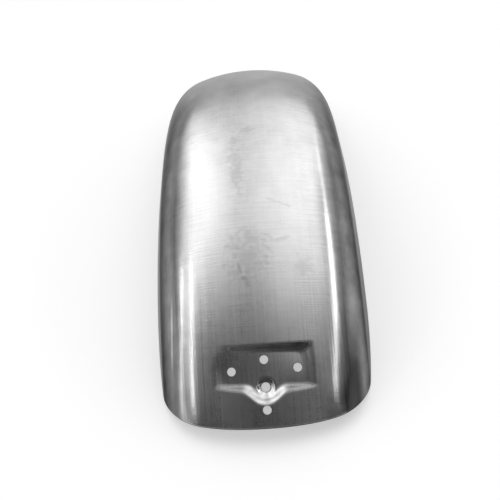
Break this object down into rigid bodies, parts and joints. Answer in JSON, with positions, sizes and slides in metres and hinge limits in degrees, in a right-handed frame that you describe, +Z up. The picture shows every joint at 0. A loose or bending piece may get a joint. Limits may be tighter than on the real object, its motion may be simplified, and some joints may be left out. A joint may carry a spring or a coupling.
{
  "type": "motorcycle front fender",
  "caption": "Bare steel motorcycle fender: one pressed arch with flared skirts, rounded ends and a recessed lamp pad with screw holes and a wire hole.",
  "frame": {"origin": "on the floor under the middle of the arch", "axes": "+X across the wheel, +Y along it away from the lamp pad, +Z up; the arch stands on the corners of its skirts"},
  "size_m": [0.178, 0.4922, 0.1187],
  "materials": {
    "brushed_steel": "bare sheet steel, brushed across, with handling marks"
  },
  "bodies": {
    "root": {"fender": "brushed_steel"}
  },
  "joints": []
}
